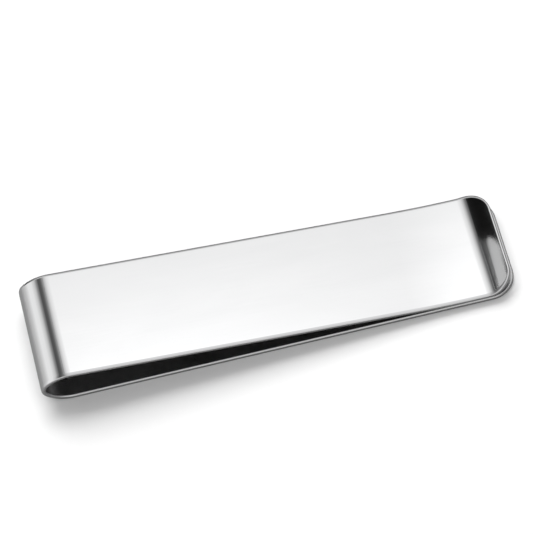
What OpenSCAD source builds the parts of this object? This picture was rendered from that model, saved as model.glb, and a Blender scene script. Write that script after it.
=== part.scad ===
// Money clip: one strip of polished spring steel folded into a U. The back leaf is flat, the front
// leaf slopes down until the two almost touch, and a short lip flares up at the open end.
// +X runs from the bend to the open end, +Y across the strip and +Z up from the back leaf's
// underside. The origin is the middle of the underside.
// The front leaf opens about the centroid of the bend's mid-line, which is a line along Y
// 1.9 mm in from the nose and 3.0 mm above the underside.

/* [Strip] */
// Length of the clip, from the nose of the bend to the back leaf's end
clip_length = 64; // [54:1:80]
// Width of the strip
strip_w = 16; // [12:0.5:25]
// Thickness of the sheet
sheet_t = 0.65; // [0.5:0.05:0.9]

/* [Bend] */
// Outer radius of the nose, the tightest part of the bend
nose_r = 1.9; // [1.6:0.1:2.6]
// Outer radius of the heel, where the nose runs into the back leaf
heel_r = 4.7; // [4:0.1:6]
// Outer radius of the shoulder, where the nose runs into the front leaf
shoulder_r = 4.6; // [4:0.1:6]
// Angle that the nose covers below its middle, before the heel takes over
nose_down = 34; // [20:1:50]
// Angle that the nose covers above its middle, before the shoulder takes over
nose_up = 43; // [20:1:50]

/* [Front leaf] */
// Gap between the leaves along the contact line
leaf_gap = 0.05; // [0.05:0.05:0.4]
// Radius of the gentle curve that brings the front leaf parallel to the back leaf
grip_r = 110; // [60:5:140]

/* [Lip] */
// Length of the lip, from the contact line to its tip
lip_length = 4.1; // [3.5:0.1:6]
// Radius of the lip's upward bend, on its upper face
lip_r = 4.6; // [4:0.1:6]
// Angle at which the lip stands up
lip_angle = 17.5; // [10:0.5:30]
// How far the back leaf runs on past the lip's tip
back_overrun = 0.45; // [0.3:0.05:2]

/* [Corners] */
// Corner radius of the back leaf, seen from above
back_corner_r = 3.6; // [1:0.1:5.5]
// Corner radius of the lip, seen from above
lip_corner_r = 3.3; // [1:0.1:5.5]

/* [Hidden] */
$fn = 360;
tip_x = clip_length - back_overrun;
contact_x = tip_x - lip_length;
// Centres of the bend's arcs, as [distance from the nose, height]. The heel touches the ground.
nose_c = [nose_r, heel_r - (heel_r - nose_r) * sin(nose_down)];
heel_c = nose_c + (heel_r - nose_r) * [cos(nose_down), sin(nose_down)];
shoulder_c = nose_c + (shoulder_r - nose_r) * [cos(nose_up), -sin(nose_up)];
// The contact line's upper face, and the centres of the two arcs that meet there
contact_z = 2 * sheet_t + leaf_gap;
grip_c = [contact_x, contact_z + grip_r];
lip_c = [contact_x, contact_z + lip_r];
// Slope and length of the straight, which is tangent to the shoulder and to the grip curve
span = grip_c - shoulder_c;
arc_sum = grip_r + shoulder_r;
leaf_slope = asin(arc_sum / norm(span)) - atan2(span.y, span.x);
straight_len = sqrt(norm(span) ^ 2 - arc_sum ^ 2);
flare_len = (tip_x - contact_x - (lip_r + sheet_t) * sin(lip_angle)) / cos(lip_angle);

// Point at an angle and a distance from the origin
function ray(angle, distance) = distance * [cos(angle), sin(angle)];

// Ring of sheet about the origin, whose outer radius is r
module sheet_ring(r) {
    difference() {
        circle(r);
        circle(r - sheet_t);
    }
}

// Part of that ring between two angles less than 90 degrees apart
module sheet_arc(r, from, to) {
    intersection() {
        sheet_ring(r);
        polygon([[0, 0], ray(from, 2 * r), ray(to, 2 * r)]);
    }
}

// Stands a side profile up and gives it the width of the strip
module across_strip() {
    translate([-clip_length / 2, 0, 0])
        rotate([90, 0, 0])
            linear_extrude(strip_w, center = true)
                children();
}

// Plan of the strip from the nose to end_x, with both end corners rounded
module strip_plan(end_x, corner_r) {
    corner_x = end_x - corner_r;
    corner_y = strip_w / 2 - corner_r;
    translate([-clip_length / 2, 0]) {
        translate([0, -strip_w / 2])
            square([corner_x, strip_w]);
        translate([0, -corner_y])
            square([end_x, 2 * corner_y]);
        for (side = [-1, 1])
            translate([corner_x, side * corner_y])
                circle(corner_r);
    }
}

module back_leaf() {
    color("gainsboro")
        intersection() {
            across_strip()
                translate([heel_c.x, 0])
                    square([clip_length - heel_c.x, sheet_t]);
            linear_extrude(sheet_t)
                strip_plan(clip_length, back_corner_r);
        }
}

// Nose, heel and shoulder. Each is cut from its ring by a wedge, and the wedges share the two
// lines through the nose's centre where the arcs meet.
module spring_bend() {
    far = 3 * heel_r;
    low = ray(180 + nose_down, far);
    high = ray(180 - nose_up, far);
    heel = heel_c - nose_c;
    shoulder = shoulder_c - nose_c;
    color("silver")
        across_strip()
            translate(nose_c) {
                intersection() {
                    sheet_ring(nose_r);
                    polygon([[0, 0], high, low]);
                }
                intersection() {
                    translate(heel)
                        sheet_ring(heel_r);
                    polygon([[0, 0], low, heel + ray(270, far), heel]);
                }
                intersection() {
                    translate(shoulder)
                        sheet_ring(shoulder_r);
                    polygon([[0, 0], high, shoulder + ray(90 - leaf_slope, far), shoulder]);
                }
            }
}

// Straight and grip curve, which meet below the curve's centre when the straight is level
module front_leaf() {
    color("gainsboro")
        across_strip()
            translate(grip_c)
                rotate(-leaf_slope) {
                    translate([-straight_len, -grip_r - sheet_t])
                        square([straight_len, sheet_t]);
                    sheet_arc(grip_r + sheet_t, 270, 270 + leaf_slope);
                }
}

// Bend and flat flare, cut to the rounded plan
module lead_in_lip() {
    color("silver")
        intersection() {
            across_strip()
                translate(lip_c)
                    rotate(lip_angle) {
                        sheet_arc(lip_r + sheet_t, 270 - lip_angle, 270);
                        translate([0, -lip_r - sheet_t])
                            square([flare_len, sheet_t]);
                    }
            linear_extrude(4 * lip_length)
                strip_plan(tip_x, lip_corner_r);
        }
}

back_leaf();
spring_bend();
front_leaf();
lead_in_lip();
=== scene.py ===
from math import asin, atan2, ceil, cos, pi, radians, sin, sqrt

import bpy
from mathutils import Matrix, Vector


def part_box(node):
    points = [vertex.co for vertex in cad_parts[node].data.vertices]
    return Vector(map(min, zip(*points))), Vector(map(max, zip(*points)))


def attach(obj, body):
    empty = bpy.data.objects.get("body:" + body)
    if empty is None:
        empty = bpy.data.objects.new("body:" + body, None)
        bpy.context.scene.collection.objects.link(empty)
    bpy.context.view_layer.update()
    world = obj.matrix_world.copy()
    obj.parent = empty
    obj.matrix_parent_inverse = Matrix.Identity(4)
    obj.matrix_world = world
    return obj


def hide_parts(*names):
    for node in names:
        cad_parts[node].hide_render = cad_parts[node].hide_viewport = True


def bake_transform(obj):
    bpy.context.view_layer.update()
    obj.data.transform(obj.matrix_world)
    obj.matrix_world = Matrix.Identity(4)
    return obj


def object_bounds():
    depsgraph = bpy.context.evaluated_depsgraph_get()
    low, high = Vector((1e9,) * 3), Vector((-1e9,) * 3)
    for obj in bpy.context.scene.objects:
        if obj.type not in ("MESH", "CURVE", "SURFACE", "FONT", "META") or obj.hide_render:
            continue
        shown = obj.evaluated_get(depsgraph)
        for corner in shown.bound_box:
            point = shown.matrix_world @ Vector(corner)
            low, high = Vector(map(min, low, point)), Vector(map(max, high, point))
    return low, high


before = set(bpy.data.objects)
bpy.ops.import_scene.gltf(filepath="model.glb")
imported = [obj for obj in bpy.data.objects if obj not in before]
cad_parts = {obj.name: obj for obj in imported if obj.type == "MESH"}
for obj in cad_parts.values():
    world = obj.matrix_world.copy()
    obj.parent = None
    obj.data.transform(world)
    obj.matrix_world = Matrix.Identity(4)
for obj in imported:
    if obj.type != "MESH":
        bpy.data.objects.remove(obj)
cad_low, cad_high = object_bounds()

# A polished steel money clip: one strip of sheet folded into a U. Each piece is a length of the
# same flat strip, rolled onto the clip's side profile, so neighbours share their seams exactly.
# Lengths are in metres, in the frame's axes: +X to the open end, +Y across, +Z up.

MM = 0.001

# ---- Dimensions -------------------------------------------------------------------------------

CLIP_LENGTH = cad_high.x - cad_low.x
STRIP_W = cad_high.y - cad_low.y
SHEET_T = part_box("back_leaf")[1].z
NOSE_X = cad_low.x

# Bend: outer radii, and the angles that the nose covers below and above its middle
NOSE_R = 1.9 * MM
HEEL_R = 4.7 * MM
SHOULDER_R = 4.6 * MM
NOSE_DOWN = radians(34)
NOSE_UP = radians(43)
# Front leaf and lip
LEAF_GAP = 0.05 * MM
GRIP_R = 110 * MM
LIP_LENGTH = 4.1 * MM
LIP_R = 4.6 * MM
LIP_ANGLE = radians(17.5)
BACK_OVERRUN = 0.45 * MM
# Corners seen from above
BACK_CORNER_R = 3.6 * MM
LIP_CORNER_R = 3.3 * MM
# Edges: buffing rolls the outer face off by a few degrees before it turns over the edge
ROLL_W = 0.34 * MM
ROLL_ANGLE = radians(13)
# Share of that roll's width that is left at the strip's two ends
TIP_ROLL = 0.25
EDGE_R = 0.2 * MM
INNER_EDGE_R = 0.24 * MM

# How finely the strip is divided
STEP_ALONG = 0.8 * MM
STEP_TURN = radians(1.5)
CORNER_STEPS = 20
ACROSS_STEPS = 40
ROLL_STEPS = 5
EDGE_STEPS = 6


def polar(distance, angle):
    return Vector((distance * cos(angle), distance * sin(angle)))


# ---- Side profile -----------------------------------------------------------------------------

class MidLine:
    """The line half way through the sheet, as straights and arcs laid end to end in X and Z."""

    def __init__(self, start, heading):
        self.legs = []
        self.point = start
        self.heading = heading
        self.length = 0.0

    def add(self, length, turn=0.0):
        """Goes on by length while the heading turns, to the left where turn is positive."""
        self.legs.append((self.length, length, self.point, self.heading, turn))
        self.point, self.heading = self.along(self.legs[-1], length)
        self.length += length

    def along(self, leg, distance):
        start_s, length, start, heading, turn = leg
        if turn == 0.0:
            return start + polar(distance, heading), heading
        radius = length / turn
        now = heading + turn * distance / length
        left = polar(radius, heading + pi / 2)
        return start + left - polar(radius, now + pi / 2), now

    def at(self, s):
        """Point and heading at distance s from the start."""
        leg = next((g for g in self.legs if s <= g[0] + g[1]), self.legs[-1])
        return self.along(leg, s - leg[0])


def clip_mid_line():
    """From the back leaf's end, round the bend, to the lip's tip. Also returns the seams."""
    nose = Vector((NOSE_R, HEEL_R - (HEEL_R - NOSE_R) * sin(NOSE_DOWN)))
    heel = nose + polar(HEEL_R - NOSE_R, NOSE_DOWN)
    shoulder = nose + polar(SHOULDER_R - NOSE_R, -NOSE_UP)
    contact_x = CLIP_LENGTH - BACK_OVERRUN - LIP_LENGTH
    grip = Vector((contact_x, 2 * SHEET_T + LEAF_GAP + GRIP_R))
    span = grip - shoulder
    reach = GRIP_R + SHOULDER_R
    slope = asin(reach / span.length) - atan2(span.y, span.x)
    flare = (LIP_LENGTH - (LIP_R + SHEET_T) * sin(LIP_ANGLE)) / cos(LIP_ANGLE)
    half = SHEET_T / 2
    line = MidLine(Vector((NOSE_X + CLIP_LENGTH, half)), pi)
    line.add(CLIP_LENGTH - heel.x)
    seams = [0.0, line.length]
    for radius, turn in ((HEEL_R, pi / 2 - NOSE_DOWN), (NOSE_R, NOSE_DOWN + NOSE_UP),
                         (SHOULDER_R, pi / 2 - NOSE_UP + slope)):
        line.add((radius - half) * turn, -turn)
    seams.append(line.length)
    line.add(sqrt(span.length_squared - reach ** 2))
    line.add((GRIP_R + half) * slope, slope)
    seams.append(line.length)
    line.add((LIP_R + half) * LIP_ANGLE, LIP_ANGLE)
    line.add(flare)
    seams.append(line.length)
    return line, seams


MID_LINE, SEAMS = clip_mid_line()


# Finishes, in the order of a piece's material slots
POLISHED, STAMPED, SATIN = range(3)


# ---- Strip pieces -----------------------------------------------------------------------------

class Piece:
    """A length of the strip as one closed mesh, with rounded corners at a free end."""

    def __init__(self, name, s_from, s_to, start_corner=0.0, end_corner=0.0):
        self.name = name
        self.s_from = s_from
        self.s_to = s_to
        self.start_corner = start_corner
        self.end_corner = end_corner
        self.points = []
        self.normals = []
        self.flat = []
        self.index = {}
        self.faces = []
        self.finishes = []
        self.caps = set()

    def stations(self):
        """Distances along the strip at which there is a row of vertices."""
        found = {self.s_from, self.s_to}
        for start_s, length, _, _, turn in MID_LINE.legs:
            low, high = max(start_s, self.s_from), min(start_s + length, self.s_to)
            if high - low < 1e-9:
                continue
            share = (high - low) / length
            steps = max(ceil((high - low) / STEP_ALONG), ceil(abs(turn) * share / STEP_TURN))
            found.update(low + (high - low) * i / steps for i in range(steps + 1))
        for i in range(CORNER_STEPS + 1):
            along = sin(pi / 2 * i / CORNER_STEPS)
            if self.start_corner:
                found.add(self.s_from + self.start_corner * (1 - along))
            if self.end_corner:
                found.add(self.s_to - self.end_corner * (1 - along))
        ordered = [self.s_from]
        for s in sorted(found):
            if s - ordered[-1] > 2e-6:
                ordered.append(s)
        ordered[-1] = self.s_to
        return ordered

    def plan(self, s, inset):
        """Where the outline is at station s: distance along, half width and outward angle."""
        for corner, sign, end in ((self.start_corner, -1, self.s_from),
                                  (self.end_corner, 1, self.s_to)):
            into = corner - abs(end - s)
            if corner and into > 0:
                turn = asin(min(1.0, into / corner))
                along = end - sign * corner + sign * (corner - inset) * sin(turn)
                return along, STRIP_W / 2 - corner + (corner - inset) * cos(turn), sign * turn
        return s, STRIP_W / 2 - inset, 0.0

    def vertex(self, key, s, y, height, normal):
        """Rolls a point of the flat strip onto the mid-line. normal is along, across, outward."""
        middle, heading = MID_LINE.at(s)
        tangent, outward = polar(1, heading), polar(1, heading + pi / 2)
        place = middle + height * outward
        facing = normal[0] * tangent + normal[2] * outward
        self.index[key] = len(self.points)
        self.points.append((place.x, y, place.y))
        self.normals.append(Vector((facing.x, normal[1], facing.y)).normalized())
        self.flat.append((s, y, height))

    def edge_section(self, turn):
        """The edge from the outer face to the inner, as (inset, height, facing angle), where the
        outline has turned from straight across towards the strip's end."""
        half = SHEET_T / 2
        roll_w = ROLL_W * (1 - (1 - TIP_ROLL) * sin(turn) ** 2)
        roll_r = roll_w / sin(ROLL_ANGLE)
        roll_drop = roll_r * (1 - cos(ROLL_ANGLE))
        turn_w = EDGE_R * (1 - sin(ROLL_ANGLE))
        centre = half - roll_drop - EDGE_R * cos(ROLL_ANGLE)
        section = []
        for i in range(ROLL_STEPS):
            a = ROLL_ANGLE * i / ROLL_STEPS
            section.append((turn_w + roll_w - roll_r * sin(a), half - roll_r * (1 - cos(a)),
                            pi / 2 - a))
        for i in range(EDGE_STEPS + 1):
            a = (pi / 2 - ROLL_ANGLE) * (1 - i / EDGE_STEPS)
            section.append((EDGE_R * (1 - cos(a)), centre + EDGE_R * sin(a), a))
        self.wall = len(section) - 1
        for i in range(EDGE_STEPS + 1):
            a = pi / 2 * i / EDGE_STEPS
            section.append((INNER_EDGE_R * (1 - cos(a)), -half + INNER_EDGE_R * (1 - sin(a)), -a))
        return section

    def add_vertices(self, rows, rim):
        """Vertices of both faces, then of the edge between them."""
        sections = [self.edge_section(self.plan(s, 0)[2]) for s in rows]
        self.last = len(sections[0]) - 1
        for layer, up in ((0, 1), (self.last, -1)):
            for i, s in enumerate(rows):
                inset, height, _ = sections[i][layer]
                along, half, _ = self.plan(s, inset)
                for j in range(ACROSS_STEPS + 1):
                    y = half * (2 * j / ACROSS_STEPS - 1)
                    self.vertex((i, j, layer), along, y, height, (0, 0, up))
        for i, j in rim:
            for layer in range(1, self.last):
                inset, height, angle = sections[i][layer]
                along, half, turn = self.plan(rows[i], inset)
                across = 2 * j / ACROSS_STEPS - 1
                outward = (sin(turn), (1 if across > 0 else -1) * cos(turn))
                normal = (cos(angle) * outward[0], cos(angle) * outward[1], sin(angle))
                self.vertex((i, j, layer), along, half * across, height, normal)

    def add_face(self, keys, finish):
        self.faces.append([self.index[k] for k in keys])
        self.finishes.append(finish)

    def rim_runs(self, rows):
        """Runs of (row, column) along each free edge, so that a run ends only at a seam."""
        end_row = len(rows) - 1
        near = [(i, 0) for i in range(end_row + 1)]
        far = [(i, ACROSS_STEPS) for i in range(end_row, -1, -1)]
        if self.end_corner:
            return [near + [(end_row, j) for j in range(1, ACROSS_STEPS)] + far]
        if self.start_corner:
            return [far + [(0, j) for j in range(ACROSS_STEPS - 1, 0, -1)] + near]
        return [near, far]

    def build(self, materials):
        rows = self.stations()
        runs = self.rim_runs(rows)
        self.add_vertices(rows, [spot for run in runs for spot in run])
        for i in range(len(rows) - 1):
            for j in range(ACROSS_STEPS):
                corners = ((i, j), (i + 1, j), (i + 1, j + 1), (i, j + 1))
                self.add_face([(*c, 0) for c in corners], POLISHED)
                self.add_face([(*c, self.last) for c in reversed(corners)], SATIN)
        for run in runs:
            for a, b in zip(run, run[1:]):
                for layer in range(self.last):
                    finish = POLISHED if layer < self.wall else STAMPED
                    self.add_face([(*a, layer), (*a, layer + 1), (*b, layer + 1), (*b, layer)],
                                  finish)
        for i, free in ((0, self.start_corner), (len(rows) - 1, self.end_corner)):
            if not free:
                self.add_cap(i)
        return self.to_object(materials)

    def add_cap(self, i):
        """Closes the cut end of the sheet at a seam."""
        across = range(ACROSS_STEPS + 1)
        ring = [(i, j, 0) for j in across]
        ring += [(i, ACROSS_STEPS, layer) for layer in range(1, self.last)]
        ring += [(i, j, self.last) for j in reversed(across)]
        ring += [(i, 0, layer) for layer in range(self.last - 1, 0, -1)]
        self.caps.add(len(self.faces))
        self.add_face(ring if i == 0 else ring[::-1], SATIN)

    def to_object(self, materials):
        mesh = bpy.data.meshes.new(self.name)
        mesh.from_pydata(self.points, [], self.faces)
        mesh.validate(verbose=False)
        for material in materials:
            mesh.materials.append(material)
        for polygon in mesh.polygons:
            polygon.use_smooth = True
            polygon.material_index = self.finishes[polygon.index]
        facings = []
        for polygon in mesh.polygons:
            own = polygon.normal.copy() if polygon.index in self.caps else None
            facings += [own or self.normals[v] for v in polygon.vertices]
        mesh.normals_split_custom_set(facings)
        flat = mesh.attributes.new("strip", "FLOAT_VECTOR", "POINT")
        flat.data.foreach_set("vector", [c for point in self.flat for c in point])
        piece = bpy.data.objects.new(self.name, mesh)
        bpy.context.scene.collection.objects.link(piece)
        return piece


# ---- Materials --------------------------------------------------------------------------------

# The Mix node's colour sockets, which have the same names as its number sockets
MIX_A, MIX_B, MIX_RESULT = 6, 7, 2


class Nodes:
    """A material's node tree, with the strip's own flat coordinates as its texture space."""

    def __init__(self, name):
        self.material = bpy.data.materials.new(name)
        self.material.use_nodes = True
        self.tree = self.material.node_tree
        self.shader = next(n for n in self.tree.nodes if n.type == "BSDF_PRINCIPLED")

    def add(self, kind, **settings):
        node = self.tree.nodes.new(kind)
        for key, value in settings.items():
            setattr(node, key, value)
        return node

    def link(self, source, target):
        self.tree.links.new(source, target)

    def feed(self, value, socket):
        """Gives a socket a number, or the output of another node."""
        if isinstance(value, (int, float)):
            socket.default_value = value
        else:
            self.link(value, socket)

    def strip_space(self, scale):
        """Coordinates along, across and through the sheet, times scale, per metre."""
        flat = self.add("ShaderNodeAttribute", attribute_name="strip")
        mapping = self.add("ShaderNodeMapping")
        mapping.inputs["Scale"].default_value = scale
        self.link(flat.outputs["Vector"], mapping.inputs["Vector"])
        return mapping.outputs["Vector"]

    def noise(self, scale, detail=3.0, roughness=0.5, distortion=0.0):
        node = self.add("ShaderNodeTexNoise")
        node.inputs["Scale"].default_value = 1.0
        node.inputs["Detail"].default_value = detail
        node.inputs["Roughness"].default_value = roughness
        node.inputs["Distortion"].default_value = distortion
        self.link(self.strip_space(scale), node.inputs["Vector"])
        return node.outputs["Fac"]

    def span(self, value, low_in, high_in, low, high):
        """Maps low_in to high_in onto low to high."""
        node = self.add("ShaderNodeMapRange")
        for socket, number in zip(("From Min", "From Max", "To Min", "To Max"),
                                  (low_in, high_in, low, high)):
            node.inputs[socket].default_value = number
        self.link(value, node.inputs["Value"])
        return node.outputs["Result"]

    def maths(self, operation, a, b):
        node = self.add("ShaderNodeMath", operation=operation)
        for socket, value in zip(node.inputs, (a, b)):
            self.feed(value, socket)
        return node.outputs["Value"]

    def grey(self, value, dark, light):
        """Colour between two greys, for a value from 0 to 1."""
        node = self.add("ShaderNodeMix", data_type="RGBA")
        node.inputs[MIX_A].default_value = (*dark, 1)
        node.inputs[MIX_B].default_value = (*light, 1)
        self.link(value, node.inputs["Factor"])
        return node.outputs[MIX_RESULT]

    def bump(self, height, distance, before=None):
        node = self.add("ShaderNodeBump")
        node.inputs["Strength"].default_value = 1.0
        node.inputs["Distance"].default_value = distance
        self.link(height, node.inputs["Height"])
        if before is not None:
            self.link(before, node.inputs["Normal"])
        return node.outputs["Normal"]


def polished_steel(name, ripple):
    """Buffed outer face: hair lines along the strip, faint cloudy smears and a slow waviness.
    ripple is the depth of the fine lines across the strip that bending leaves."""
    n = Nodes(name)
    n.shader.inputs["Metallic"].default_value = 1.0
    hairs = n.noise((90, 9000, 400), detail=4.0, roughness=0.6)
    cloud = n.noise((55, 170, 0), detail=3.0, roughness=0.55, distortion=0.6)
    tone = n.maths("ADD", n.span(cloud, 0.3, 0.7, 0.0, 0.75), n.span(hairs, 0.35, 0.65, 0.0, 0.25))
    n.link(n.grey(tone, (0.765, 0.767, 0.772), (0.80, 0.801, 0.805)), n.shader.inputs["Base Color"])
    rough = n.maths("ADD", n.span(cloud, 0.3, 0.7, 0.015, 0.03), n.span(hairs, 0.4, 0.7, 0.0, 0.01))
    n.link(rough, n.shader.inputs["Roughness"])
    bumps = n.bump(n.noise((60, 110, 0), detail=1.0), 0.003 * MM)
    if ripple:
        bumps = n.bump(n.noise((2600, 30, 0), detail=2.0, roughness=0.6), ripple, bumps)
    n.link(n.bump(hairs, 0.0001 * MM, bumps), n.shader.inputs["Normal"])
    return n.material


def stamped_steel():
    """Cut wall of the sheet: a satin grain with the die's faint drag lines through it."""
    n = Nodes("stamped_steel")
    n.shader.inputs["Metallic"].default_value = 1.0
    drag = n.noise((9000, 9000, 700), detail=3.0, roughness=0.6)
    grain = n.noise((14000, 14000, 14000), detail=2.0)
    tone = n.maths("ADD", n.span(drag, 0.3, 0.7, 0.0, 0.6), n.span(grain, 0.3, 0.7, 0.0, 0.4))
    n.link(n.grey(tone, (0.60, 0.60, 0.605), (0.78, 0.78, 0.785)), n.shader.inputs["Base Color"])
    n.link(n.span(grain, 0.3, 0.7, 0.16, 0.28), n.shader.inputs["Roughness"])
    n.link(n.bump(drag, 0.002 * MM), n.shader.inputs["Normal"])
    return n.material


def satin_steel():
    """Unbuffed inner face: the mill's fine rolling lines, duller and darker than the outside. The
    darker tone is partly the unbuffed steel and partly painted shade for the slot between the
    leaves.
    """
    n = Nodes("satin_steel")
    n.shader.inputs["Metallic"].default_value = 1.0
    rolling = n.noise((150, 12000, 0), detail=4.0, roughness=0.65)
    patches = n.noise((180, 260, 0), detail=2.0)
    tone = n.maths("ADD", n.span(rolling, 0.3, 0.7, 0.0, 0.6), n.span(patches, 0.3, 0.7, 0.0, 0.4))
    # Dark base tone: partly the duller unbuffed steel, partly painted shade in the slot between the
    # leaves
    n.link(n.grey(tone, (0.40, 0.40, 0.405), (0.52, 0.52, 0.525)), n.shader.inputs["Base Color"])
    n.link(n.span(patches, 0.3, 0.7, 0.26, 0.36), n.shader.inputs["Roughness"])
    n.link(n.bump(rolling, 0.0015 * MM), n.shader.inputs["Normal"])
    return n.material


# ---- The clip ---------------------------------------------------------------------------------

def build_clip():
    edges = (stamped_steel(), satin_steel())
    flat = (polished_steel("polished_steel", 0.0), *edges)
    bent = (polished_steel("polished_steel_bent", 0.0003 * MM), *edges)
    back_end, heel, shoulder, contact, tip = SEAMS[0], *SEAMS[1:]
    back = Piece("back_leaf_polished", back_end, heel, start_corner=BACK_CORNER_R).build(flat)
    bend = Piece("spring_bend_polished", heel, shoulder).build(bent)
    front = Piece("front_leaf_polished", shoulder, contact).build(flat)
    lip = Piece("lead_in_lip_polished", contact, tip, end_corner=LIP_CORNER_R).build(bent)
    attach(back, "root")
    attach(front, "front")
    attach(lip, "front")
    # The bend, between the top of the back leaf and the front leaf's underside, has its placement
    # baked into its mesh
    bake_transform(bend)
    for piece, node in ((back, "back_leaf"), (bend, "spring_bend"),
                        (front, "front_leaf"), (lip, "lead_in_lip")):
        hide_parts(node)


# ---- Studio -----------------------------------------------------------------------------------

FLOOR_SIZE = 4.0
# How far from the clip's foot the mirrored floor's painted contact shade fades to its outer tone,
# and how fast it does
PAINTED_SHADE_REACH = 80 * MM
PAINTED_SHADE_POWER = 0.45
TENT_R = 0.7
# Degrees of the tent to each flat of a panel
TENT_STEP = 3
# Brightness that a colour ramp's white stands for
BRIGHTEST = 1.3
AMBIENT = 0.69
SOFTBOX_END = 0.56
# The card that the lip mirrors: its middle, size, corner radius, lean and brightness
LIP_CARD_X = -61 * MM
LIP_CARD_Y = 119.8 * MM
LIP_CARD_Z = 189 * MM
LIP_CARD_W = 19 * MM
LIP_CARD_H = 5 * MM
LIP_CARD_R = 2.3 * MM
LIP_CARD_CORNER_STEPS = 8
LIP_CARD_LEAN = 0.13
LIP_CARD_TONE = 0.6
# The grey and the black flag behind that card: their distance from it, and where they lie
LIP_FLAG_GAP = 1 * MM
LIP_FLAG_Z = (183.5 * MM, 194.5 * MM)
GREY_FLAG_Y = (95 * MM, 128.6 * MM)
BLACK_FLAG_Y = (128.6 * MM, 150 * MM)


def staged(name, points, faces, material):
    mesh = bpy.data.meshes.new(name)
    mesh.from_pydata(points, [], faces)
    mesh.materials.append(material)
    obj = bpy.data.objects.new(name, mesh)
    bpy.context.scene.collection.objects.link(obj)
    return obj


def mirrored_only(obj):
    """A card that only the polished metal sees."""
    obj.visible_camera = False
    obj.visible_diffuse = False
    obj.visible_shadow = False
    return obj


def floor_material(name, near, far):
    """Matt floor, whose tone goes from near, at the clip's foot, to far, some way off. A near tone
    darker than far is painted shade round the foot.
    """
    n = Nodes(name)
    n.shader.inputs["Roughness"].default_value = 0.9
    n.shader.inputs["Specular IOR Level"].default_value = 0.0
    split = n.add("ShaderNodeSeparateXYZ")
    n.link(n.add("ShaderNodeTexCoord").outputs["Object"], split.inputs[0])
    beside = n.maths("SUBTRACT", n.maths("ABSOLUTE", split.outputs["X"], 0), CLIP_LENGTH / 2)
    before = n.maths("SUBTRACT", n.maths("ABSOLUTE", split.outputs["Y"], 0), STRIP_W / 2)
    away = n.maths("MAXIMUM", n.maths("MAXIMUM", beside, before), 0)
    spread = n.maths("POWER", n.maths("DIVIDE", away, PAINTED_SHADE_REACH), PAINTED_SHADE_POWER)
    n.link(n.grey(n.maths("MINIMUM", spread, 1), [near] * 3, [far] * 3),
           n.shader.inputs["Base Color"])
    return n.material


def floors():
    """A white floor, and a greyer one just under it that the metal mirrors in its place, darker
    near the clip's foot with painted shade.
    """
    h = FLOOR_SIZE / 2
    # The mirrored floor's darker near tone is painted contact shade round the clip's foot
    for name, near, far, z in (("floor", 0.8, 0.8, 0.0),
                               ("floor_mirrored", 0.24, 0.42, -0.05 * MM)):
        corners = [(-h, -h, z), (h, -h, z), (h, h, z), (-h, h, z)]
        obj = staged(name, corners, [(0, 1, 2, 3)], floor_material(name, near, far))
        if name == "floor":
            obj.visible_glossy = False
            obj.visible_shadow = False
        else:
            mirrored_only(obj)


class Card(Nodes):
    """A glowing card's material. Its tones are (place, brightness) steps along one coordinate."""

    def __init__(self, name):
        super().__init__(name)
        self.tree.nodes.clear()
        self.place = self.add("ShaderNodeTexCoord").outputs["Object"]
        self.split = self.add("ShaderNodeSeparateXYZ").outputs
        self.link(self.place, self.split[0].node.inputs[0])

    def graded(self, coordinate, tones):
        low, high = tones[0][0], tones[-1][0]
        ramp = self.add("ShaderNodeValToRGB")
        ramp.color_ramp.interpolation = "LINEAR"
        stops = ramp.color_ramp.elements
        while len(stops) < len(tones):
            stops.new(0.5)
        for stop, (at, tone) in zip(stops, tones):
            stop.position = (at - low) / (high - low)
            stop.color = [tone / BRIGHTEST] * 3 + [1]
        self.link(self.span(coordinate, low, high, 0, 1), ramp.inputs["Fac"])
        return self.maths("MULTIPLY", ramp.outputs["Color"], BRIGHTEST)

    def hot_spot(self, centre, radius, brightness):
        away = self.add("ShaderNodeVectorMath", operation="DISTANCE")
        away.inputs[1].default_value = centre
        self.link(self.place, away.inputs[0])
        glow = self.span(away.outputs["Value"], radius, 0, 0, brightness)
        glow.node.interpolation_type = "SMOOTHSTEP"
        return glow

    def glow(self, strength, one_sided=False):
        emitter = self.add("ShaderNodeEmission")
        self.feed(strength, emitter.inputs["Strength"])
        surface = emitter.outputs[0]
        if one_sided:
            mix = self.add("ShaderNodeMixShader")
            self.link(self.add("ShaderNodeNewGeometry").outputs["Backfacing"], mix.inputs[0])
            self.link(surface, mix.inputs[1])
            self.link(self.add("ShaderNodeBsdfTransparent").outputs[0], mix.inputs[2])
            surface = mix.outputs[0]
        self.link(surface, self.add("ShaderNodeOutputMaterial").inputs["Surface"])


def tent_panel(name, y_from, y_to, tones, tones_across=None, hot_spot=None):
    """A curved panel of the light tent round the strip, graded by the angle in degrees from +Z
    towards -X. tones_across are further (y, share) steps."""
    low, high = tones[0][0], tones[-1][0]
    steps = ceil((high - low) / TENT_STEP)
    points = []
    for i in range(steps + 1):
        a = radians(low + (high - low) * i / steps)
        points += [(-TENT_R * sin(a), y, TENT_R * cos(a)) for y in (y_from, y_to)]
    faces = [(2 * i, 2 * i + 1, 2 * i + 3, 2 * i + 2) for i in range(steps)]
    card = Card(name)
    angle = card.maths("ARCTAN2", card.maths("MULTIPLY", card.split["X"], -1), card.split["Z"])
    strength = card.graded(card.maths("DEGREES", angle, 0), tones)
    if tones_across:
        strength = card.maths("MULTIPLY", strength, card.graded(card.split["Y"], tones_across))
    if hot_spot:
        strength = card.maths("ADD", strength, card.hot_spot(*hot_spot))
    card.glow(strength)
    return mirrored_only(staged(name, points, faces, card.material))


def back_wall(name, y, top, tones):
    """An upright card behind the clip, graded by height."""
    card = Card(name)
    card.glow(card.graded(card.split["Z"], tones))
    corners = [(-1, y, 0), (1, y, 0), (1, y, top), (-1, y, top)]
    return mirrored_only(staged(name, corners, [(0, 1, 2, 3)], card.material))


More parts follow.
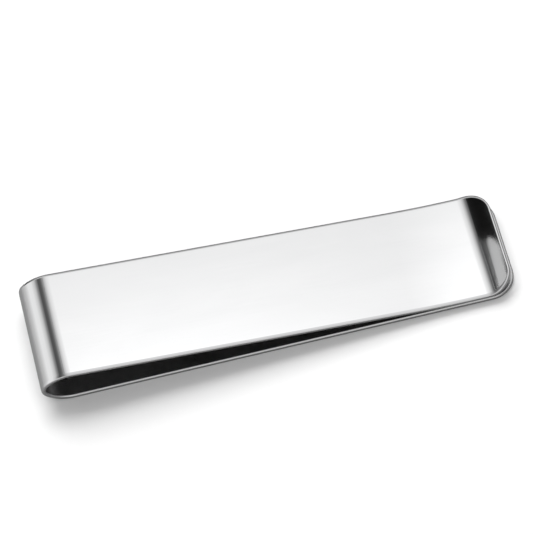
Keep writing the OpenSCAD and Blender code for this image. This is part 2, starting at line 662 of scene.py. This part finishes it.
def lip_card():
    """A small upright card, glowing on its +X side only. The lip's flat flare mirrors it as a
    round-cornered lozenge. The bend turns too sharply to show more than a trace of it."""
    points = []
    for side_y, side_z, start in ((1, 1, 0), (-1, 1, 90), (-1, -1, 180), (1, -1, 270)):
        y = LIP_CARD_Y + side_y * (LIP_CARD_W / 2 - LIP_CARD_R)
        z = LIP_CARD_Z + side_z * (LIP_CARD_H / 2 - LIP_CARD_R)
        for i in range(LIP_CARD_CORNER_STEPS + 1):
            edge = polar(LIP_CARD_R, radians(start + 90 * i / LIP_CARD_CORNER_STEPS))
            lean = (y + edge.x - LIP_CARD_Y) * LIP_CARD_LEAN
            points.append((LIP_CARD_X, y + edge.x, z + edge.y + lean))
    card = Card("lip_card")
    card.glow(LIP_CARD_TONE, one_sided=True)
    return mirrored_only(staged("lip_card", points, [range(len(points))], card.material))


def lip_flag(name, y_span, tones):
    """A dark card just behind the lip's bright one, graded by the share of its height."""
    y_from, y_to = y_span
    low, high = LIP_FLAG_Z
    card = Card(name)
    steps = [(low + share * (high - low), tone) for share, tone in tones]
    card.glow(card.graded(card.split["Z"], steps), one_sided=True)
    x = LIP_CARD_X - LIP_FLAG_GAP
    corners = [(x, y_to, high), (x, y_from, high), (x, y_from, low), (x, y_to, low)]
    return mirrored_only(staged(name, corners, [(0, 1, 2, 3)], card.material))


def area(name, place, width, depth, power):
    """A soft light, aimed at the clip."""
    light = bpy.data.lights.new(name, "AREA")
    light.shape = "ELLIPSE"
    light.size = width
    light.size_y = depth
    light.energy = power
    obj = bpy.data.objects.new(name, light)
    obj.location = place
    obj.rotation_euler = (-Vector(place)).to_track_quat("-Z", "Y").to_euler()
    bpy.context.scene.collection.objects.link(obj)
    obj.visible_glossy = False
    return obj


def surroundings():
    world = bpy.data.worlds.new("studio")
    world.use_nodes = True
    background = world.node_tree.nodes["Background"]
    background.inputs["Color"].default_value = (1, 1, 1, 1)
    background.inputs["Strength"].default_value = AMBIENT
    bpy.context.scene.world = world


def studio():
    floors()
    tent_panel("softbox", -0.9, SOFTBOX_END,
               [(-90, 0.12), (-50, 0.45), (-26, 1.04), (-17, 1.05), (-9, 1.05), (-2, 1.0), (3, 0.9),
                (10, 0.61), (14, 0.39), (18, 0.2)],
               tones_across=[(-0.9, 0.7), (-0.2, 0.68), (0.25, 0.85), (0.4, 1.08), (0.425, 1.04),
                             (0.45, 0.99), (0.56, 0.95)],
               hot_spot=((0.125, 0.36, 0.69), 0.135, 0.32))
    tent_panel("left_side", -0.5, 1.2,
               [(18, 0.2), (23, 0.11), (29, 0.1), (36, 0.34), (43, 0.7), (54, 0.97), (66, 0.98),
                (80, 0.66), (90, 0.53)])
    back_wall("back_wall", SOFTBOX_END, 0.7,
              [(0.0, 0.05), (0.2, 0.12), (0.35, 0.26), (0.47, 0.48), (0.7, 0.85)])
    lip_card()
    lip_flag("black_flag", BLACK_FLAG_Y, [(0, 0.09), (0.18, 0.035), (0.36, 0.008), (1, 0.004)])
    lip_flag("grey_flag", GREY_FLAG_Y, [(0, 0.09), (1, 0.06)])
    area("key", (-0.08, 0.45, 0.75), 1.1, 0.3, 4.4)
    area("low_back", (-0.08, 0.7, 0.56), 0.9, 0.4, 4.4)
    surroundings()


# ---- Camera -----------------------------------------------------------------------------------

CAMERA_AZIMUTH = radians(-7.225)
CAMERA_ELEVATION = radians(57.373)
CAMERA_ROLL = radians(-6.968)
CAMERA_TARGET = Vector((0.769, 5.02, 0)) * MM
CAMERA_DISTANCE = 451.03 * MM
CAMERA_LENS = 228.88


def camera():
    level = cos(CAMERA_ELEVATION)
    back = Vector((sin(CAMERA_AZIMUTH) * level, -cos(CAMERA_AZIMUTH) * level,
                   sin(CAMERA_ELEVATION)))
    right = Vector((cos(CAMERA_AZIMUTH), sin(CAMERA_AZIMUTH), 0))
    up = back.cross(right)
    turned_right = cos(CAMERA_ROLL) * right + sin(CAMERA_ROLL) * up
    turned_up = cos(CAMERA_ROLL) * up - sin(CAMERA_ROLL) * right
    data = bpy.data.cameras.new("camera")
    data.lens = CAMERA_LENS
    data.clip_start = 0.01
    obj = bpy.data.objects.new("camera", data)
    axes = Matrix((turned_right, turned_up, back)).transposed().to_4x4()
    obj.matrix_world = Matrix.Translation(CAMERA_TARGET + back * CAMERA_DISTANCE) @ axes
    bpy.context.scene.collection.objects.link(obj)
    bpy.context.scene.camera = obj


build_clip()
studio()
camera()
bpy.context.scene.view_settings.view_transform = "Standard"
